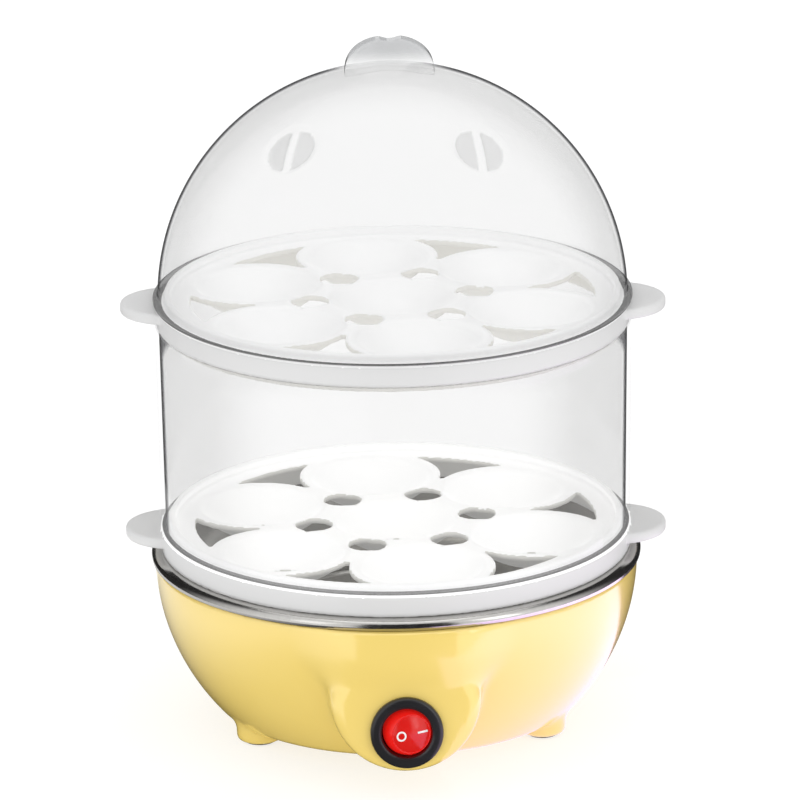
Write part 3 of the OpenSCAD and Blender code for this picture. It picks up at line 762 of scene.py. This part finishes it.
def tray_field(x, y, z):
    """One egg tray with its plate's top at z = 0, before it is turned."""
    bottom = -TRAY_H
    r = np.hypot(x, y)
    plate = smooth_max(r - PLATE_R, np.abs(z + 1) - 1, 0.9)
    skirt_z = np.abs(z - (bottom - 0.5) / 2) + (bottom + 0.5) / 2
    skirt = smooth_max(np.abs(r - SKIRT_R) - SKIRT_HALF_T, skirt_z, 0.4)
    collar_z = np.abs(z - (bottom - COLLAR_DROP) / 2) + (bottom + 1) / 2
    collar = np.maximum(np.abs(r - COLLAR_R) - COLLAR_HALF_T, collar_z)
    band = smooth_max(np.abs(r - 75.2) - 1, np.abs(z - 1.15) - 1.65, 0.8)
    body = smooth_min(np.minimum.reduce([plate, skirt, collar]), band, 0.6)
    angle = np.arctan2(y, x) - PATTERN_TURN - SIXTH / 2
    angle = np.abs((angle + SIXTH / 2) % SIXTH - SIXTH / 2)
    px, py = r * np.cos(angle), r * np.sin(angle)
    up = z - CUP_UP
    reach = np.minimum(r, np.hypot(px - CUP_PITCH, py))
    ball = np.hypot(reach, up)
    body = smooth_min(body, np.maximum(ball - CUP_OUT_R, z + 1), 0.8)
    hx, hy = HOLE_RING * math.cos(SIXTH / 2), HOLE_RING * math.sin(SIXTH / 2)
    steam = HOLE_R - np.hypot(px - hx, py - hy)
    wx = px * math.cos(SIXTH / 2) + py * math.sin(SIXTH / 2)
    wy = np.abs(py * math.cos(SIXTH / 2) - px * math.sin(SIXTH / 2))
    window = smooth_max(r - WINDOW_R, WINDOW_IN - wx, 1.5)
    window = smooth_max(window, WINDOW_SIDE_R - np.hypot(wx - WINDOW_SIDE_X, wy - WINDOW_SIDE_Y), 1.5)
    body = smooth_max(body, CUP_R - ball, 1.5)
    body = smooth_max(body, steam, 0.5)
    body = smooth_max(body, -window, 0.5)
    body = smooth_max(body, DRAIN_R - reach, 0.5)
    ear = smooth_max(np.hypot(np.abs(x) - EAR_X, y) - EAR_R, np.abs(z - (bottom + EAR_UP)) - EAR_HALF_T, 1.0)
    return smooth_min(body, np.maximum(ear, 77.5 - r), 0.6)


def make_tray(node, top, look):
    """One of the two trays from the same mould, with its plate's top at the height top."""
    verts, faces = skin(tray_field, (-94, -81, -13), (94, 81, 4.5), 0.9)
    place = Matrix.Translation((0, 0, top)) @ Matrix.Rotation(TRAY_YAW, 4, "Z")
    piece = add_mesh(node + "_moulding", verts, faces, look, node, [node], place)
    shade_tray(piece, top)


def shade_tray(piece, top):
    """Painted shade: the ears with the skirt, and the underside with the sides of the holes, take copies of
    the plastic with less painted glow, so they are less bright.
    """
    mesh = piece.data
    mesh.materials.append(WHITE_EAR_PAINTED_SHADE)
    mesh.materials.append(WHITE_UNDER_PAINTED_SHADE)
    for face in mesh.polygons:
        reach = math.hypot(face.center.x, face.center.y) / MM
        below = top - face.center.z / MM
        # Painted shade on the ears and the skirt.
        if reach > 79.3 or (reach > 77.5 and below > 0.9):
            face.material_index = 1
        # Painted shade on the underside and the sides of the holes.
        elif reach < 77 and face.normal.z < 0.45 and below > 0.3:
            face.material_index = 2


# ---------------------------------------------------------------- clear ring and lid
def split_sides(piece, centre_z, edge_top):
    """Inner faces get the clearest finish, and faces below edge_top a painted dark shade, standing in for
    the dark that refraction gives a clear edge.
    """
    mesh = piece.data
    mesh.materials.append(CLEAR_INSIDE)
    mesh.materials.append(CLEAR_EDGE_PAINTED_SHADE)
    for face in mesh.polygons:
        arm = face.center - Vector((0, 0, centre_z * MM))
        if centre_z == 0:
            arm.z = 0
        if face.normal.dot(arm) < 0:
            face.material_index = 1
        # Painted dark shade on the faces below edge_top.
        elif face.center.z < edge_top * MM:
            face.material_index = 2


def make_ring():
    """The clear ring, a little wider at the top, with softened edges and painted dark shade on its foot."""
    low, high = RING_LOW[2], RING_HIGH[2]
    foot, top = RING_FOOT_R, RING_TOP_R
    soft, edge = 0.35, 0.9
    flare, climb = top - foot, high - low - 2 * soft
    outside = [(foot, low + soft), (foot + 0.02, low + edge)]
    outside += [(foot + flare * k, low + soft + climb * k) for k in np.linspace(0.05, 1, 9)]
    profile = outside + [(top - soft, high), (top - CLEAR_WALL + soft, high)]
    profile += [(r - CLEAR_WALL, z) for r, z in outside[::-1]]
    profile += [(foot - CLEAR_WALL + soft, low), (foot - soft, low)]
    verts, faces = lathe(profile)
    piece = add_mesh(
        "steam_ring_moulding", verts, faces, CLEAR_RING, "steam_ring", ["steam_ring"]
    )
    split_sides(piece, 0, low + edge)


VENT_TILT, VENT_TURN, VENT_YAW = math.radians(51.3), math.radians(39.4), math.radians(-4.4)
VENT_R, RIB_TURN = 10.2, math.radians(22)
DISC_DEEP, POCKET_DEEP = 0.55, 0.6


def vent_depth(x, y, z):
    """How far the dome dips at a point of its sphere: two discs, each with two pockets beside a rib."""
    depth = np.zeros_like(x)
    for side in (-1, 1):
        turn = side * VENT_TURN + VENT_YAW
        radial = np.array([math.sin(turn), -math.cos(turn), 0])
        axis = radial * math.cos(VENT_TILT) + np.array([0, 0, math.sin(VENT_TILT)])
        across = np.array([math.cos(turn), math.sin(turn), 0])
        uphill = np.cross(across, axis) * -1
        u = x * across[0] + y * across[1]
        v = x * uphill[0] + y * uphill[1] + z * uphill[2]
        ahead = x * axis[0] + y * axis[1] + z * axis[2] > 0
        reach = np.hypot(u, v)
        u = u * math.cos(RIB_TURN) - side * v * math.sin(RIB_TURN)
        disc = 1 - smooth_step(reach, VENT_R - 0.9, VENT_R + 0.1)
        pocket = 1 - smooth_step(reach, VENT_R - 2.2, VENT_R - 1.4)
        rib = smooth_step(np.abs(u), 1.2, 1.8)
        depth = depth + ahead * (DISC_DEEP * disc + POCKET_DEEP * pocket * rib)
    return depth


def make_dome():
    """The clear dome: a rolled lip, a hemisphere with the dips of its vents, and a plain inside."""
    columns, rows, inner_rows = 480, 130, 60
    turns = np.linspace(0, 2 * math.pi, columns, endpoint=False)
    cosines, sines = np.cos(turns), np.sin(turns)
    verts, faces = [], []

    def ring(radii, heights):
        start = len(verts)
        heights = heights + 0 * turns
        verts.extend(zip((radii * cosines).tolist(), (radii * sines).tolist(), heights.tolist()))
        return list(range(start, start + columns))

    def dome_ring(rise, radius, dimples):
        level = radius * math.cos(rise)
        x, y, z = level * cosines, level * sines, radius * math.sin(rise) + 0 * turns
        scale = 1 - (vent_depth(x, y, z) / radius if dimples else 0)
        return ring(np.hypot(x, y) * scale, DOME_Z + z * scale)

    lip = [(DOME_R - CLEAR_WALL + 0.3, 0), (LIP_R - 0.4, 0), (LIP_R, 0.4), (LIP_R, 0.9), (LIP_R - 0.4, 1.3)]
    lip += [(DOME_R + 0.5, 1.5), (DOME_R + 0.1, 2.0)]
    loops = [ring(np.full(columns, r), DOME_Z + z) for r, z in lip]
    loops += [dome_ring(math.radians(a), DOME_R, True) for a in np.linspace(2.4, 89.3, rows)]
    top = len(verts)
    verts.append((0, 0, DOME_TOP))
    inner_r = DOME_R - CLEAR_WALL
    inner = [dome_ring(math.radians(a), inner_r, False) for a in np.linspace(89.3, 0.4, inner_rows)]
    peak = len(verts)
    verts.append((0, 0, DOME_TOP - CLEAR_WALL))
    following = [(k, (k + 1) % columns) for k in range(columns)]
    for run in (loops, inner, [inner[-1], loops[0]]):
        for lower, upper in zip(run, run[1:]):
            faces.extend((lower[k], lower[n], upper[n], upper[k]) for k, n in following)
    faces.extend((loops[-1][k], loops[-1][n], top) for k, n in following)
    faces.extend((inner[0][n], inner[0][k], peak) for k, n in following)
    piece = add_mesh("dome_moulding", verts, faces, CLEAR, "lid", ["lid_dome"])
    split_sides(piece, DOME_Z, DOME_Z + 0.95)
    frost_vents(piece)


def frost_vents(piece):
    """The pockets of the vents are frosted, softly towards their edges."""
    points = np.array([vert.co for vert in piece.data.vertices]) / MM - (0, 0, DOME_Z)
    patch = piece.data.attributes.new("frost", "FLOAT", "POINT")
    patch.data.foreach_set("value", smooth_step(vent_depth(*points.T), 0.6, 1.1).astype(np.float32))


GRIP_HALF_W, GRIP_H, GRIP_ROUND, GRIP_HALF_T = 14.8, 10.6, 2.2, 4.2
NOTCH_R, NOTCH_DEEP = 5.0, 0.9
HOLLOW_R, HOLLOW_Y, HOLLOW_UP = 24.6, 26.6, 3.0


def grip_field(x, y, z):
    """The finger grip on the dome: a flat fin with two low humps and a hollow for a finger on each side."""
    rise = z - DOME_TOP
    wide, tall = np.abs(x) / GRIP_HALF_W, np.maximum(rise + 1, 0) / (GRIP_H + 1)
    outline = (wide**GRIP_ROUND + tall**GRIP_ROUND) ** (1 / GRIP_ROUND)
    outline = np.where(rise > -1, (outline - 1) * 10.5, np.abs(x) - GRIP_HALF_W)
    notch = NOTCH_R - np.hypot(x, rise - (GRIP_H - NOTCH_DEEP + NOTCH_R))
    outline = smooth_max(outline, notch, 1.2)
    fin = smooth_max(outline, np.abs(y) - GRIP_HALF_T, 2.0)
    hollow = HOLLOW_R - np.sqrt(x**2 + (np.abs(y) - HOLLOW_Y) ** 2 + (rise - HOLLOW_UP) ** 2)
    fin = smooth_max(fin, hollow, 0.8)
    ball = np.sqrt(x**2 + y**2 + (z - DOME_Z) ** 2)
    return np.maximum(fin, DOME_R - 0.3 - ball)


def make_grip():
    verts, faces = skin(grip_field, (-16, -6, DOME_TOP - 4), (16, 6, DOME_TOP + 12), 0.4)
    add_mesh("lid_grip", verts, faces, CLEAR_GRIP, "lid", ["lid_dome"])


# ---------------------------------------------------------------- switch
SWITCH_TURN = math.radians(8)
CAVITY_R, BARREL_R, BARREL_L = 8.3, 9.9, 13.0
BEZEL_R, BEZEL_T = box_mm("switch_body")[1][0], 2.2
FACE_Z = 5.7
PIN_R, PIN_L, PIN_START = 1.15, 2.6, 6.8


def switch_place():
    """The switch's own frame: Z out of the pod's face, turned a little in its hole."""
    face = Matrix.Translation(POD_FACE) @ Matrix.Rotation(math.radians(90) - POD_LEAN, 4, "X")
    return face @ Matrix.Rotation(SWITCH_TURN, 4, "Z")


def rocker_place():
    """The rocker's own frame: its pivot, tipped so that the right side is pressed in."""
    return switch_place() @ Matrix.Translation((0, 0, PIVOT_DEPTH)) @ Matrix.Rotation(ROCKER_TILT, 4, "Y")


def make_switch():
    """The round bezel and the barrel behind it, with the cavity that the rocker tilts in."""
    collar = [(BEZEL_R, 0), (BEZEL_R, 0.7)] + arc(BEZEL_R - 1.4, 0.8, 1.4, 5, 85, 8)
    collar += [(CAVITY_R + 1.2, BEZEL_T), (CAVITY_R + 0.7, BEZEL_T - 0.1)]
    collar += arc(CAVITY_R + 0.5, 1.4, 0.5, 120, 180, 4)
    inside = [(CAVITY_R, 0.5), (CAVITY_R, -6.5), (2.6, -6.5), (2.6, -12), (0, -12)]
    outside = [(0, -BARREL_L), (BARREL_R, -BARREL_L), (BARREL_R, 0)]
    verts, faces = lathe(collar + inside + outside, 96)
    add_mesh("switch_housing", verts, faces, BLACK, "base", ["switch_body"], switch_place())


def make_rocker():
    """A red rocker on two pins, with a fine groove round its face. Its sides get more painted glow than its
    face, which lifts them out of the shade of the bezel's cavity.
    """
    groove = [(6.0, FACE_Z), (6.1, FACE_Z - 0.2), (6.2, FACE_Z - 0.2), (6.3, FACE_Z)]
    face = [(0, FACE_Z)] + groove + arc(6.35, 5.4, 0.3, 75, 15, 5)
    skirt = [(7.2, 4.3), (7.7, 2.2), (8.0, 0.5), (7.8, -1.2)]
    verts, faces = lathe(face + skirt + [(4.5, -1.2), (4.5, 1.8), (0, 1.8)], 96)
    centre = rocker_place()
    button = add_mesh("rocker_button", verts, faces, RED_PAINTED_GLOW, "rocker", ["switch_rocker"], centre)
    button.data.materials.append(RED_WALL_PAINTED_GLOW)
    out = centre.to_3x3() @ Vector((0, 0, 1))
    for side in button.data.polygons:
        # Faces that don't face outwards take the copy with more painted glow.
        side.material_index = int(side.normal.dot(out) < 0.8)
    for side in (-1, 1):
        pin, caps = lathe([(0, 0), (PIN_R, 0), (PIN_R, PIN_L), (0, PIN_L)], 24)
        turn = Matrix.Rotation(math.radians(90 * side), 4, "X")
        place = centre @ turn @ Matrix.Translation((0, 0, PIN_START))
        add_mesh(f"rocker_pin_{side + 2}", pin, caps, RED_PAINTED_GLOW, "rocker", (), place)


def make_rocker_marks():
    """The plain round and straight marks for off and on."""
    sunk, proud = -0.1, 0.05
    inner, outer = 1.1, 1.68
    ring, ring_faces = lathe([(inner, sunk), (outer, sunk), (outer, proud), (inner, proud)], 48)
    place = rocker_place() @ Matrix.Translation((-3.4, 0, FACE_Z))
    add_mesh("mark_off", ring, ring_faces, MARK, "rocker", (), place)
    half_l, half_w = 1.7, 0.34
    corners = ((-1, -1), (1, -1), (1, 1), (-1, 1))
    bar = [(sx * half_l, sy * half_w, z) for z in (sunk, proud) for sx, sy in corners]
    sides = [(0, 3, 2, 1), (4, 5, 6, 7), (0, 1, 5, 4), (1, 2, 6, 5), (2, 3, 7, 6), (3, 0, 4, 7)]
    place = rocker_place() @ Matrix.Translation((3.9, 0, FACE_Z))
    add_mesh("mark_on", bar, sides, MARK, "rocker", (), place)


make_housing()
make_dish()
make_tray("lower_tray", LOWER_TOP, WHITE_LOWER_PAINTED_GLOW)
make_tray("upper_tray", UPPER_TOP, WHITE_PAINTED_GLOW)
make_ring()
make_dome()
make_grip()
make_switch()
make_rocker()
make_rocker_marks()
